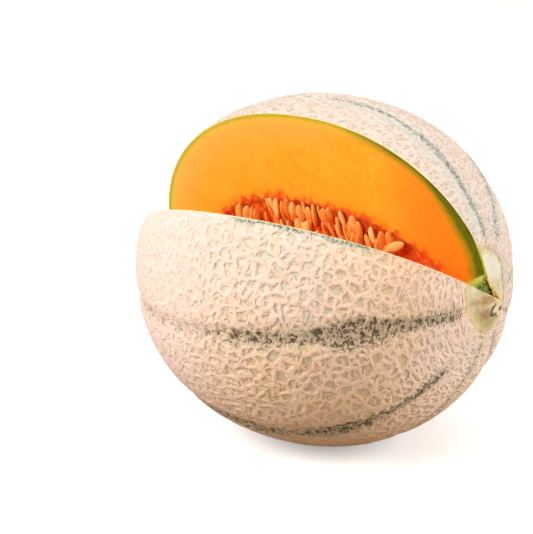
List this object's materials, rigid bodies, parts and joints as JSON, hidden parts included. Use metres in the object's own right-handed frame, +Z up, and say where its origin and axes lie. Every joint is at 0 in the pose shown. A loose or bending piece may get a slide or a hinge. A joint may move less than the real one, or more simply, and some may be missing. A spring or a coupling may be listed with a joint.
{
  "type": "cantaloupe melon with a wedge cut out",
  "caption": "Netted round melon lying on its side, with a wedge cut out of its top that opens the seed cavity and shows the flesh, the stringy tissue and the seeds.",
  "frame": {"origin": "on the ground, under the middle of the melon's bounding box", "axes": "+X along the melon's long axis toward its stem end, +Z up, with the cut leaning from +Z toward -Y"},
  "size_m": [0.1764, 0.1662, 0.1593],
  "materials": {
    "rind": "matte",
    "flesh": "satin",
    "seed_tissue": "satin",
    "seeds": "satin"
  },
  "bodies": {
    "root": {"fruit_body": "rind", "seed_core": "seed_tissue"}
  },
  "joints": []
}
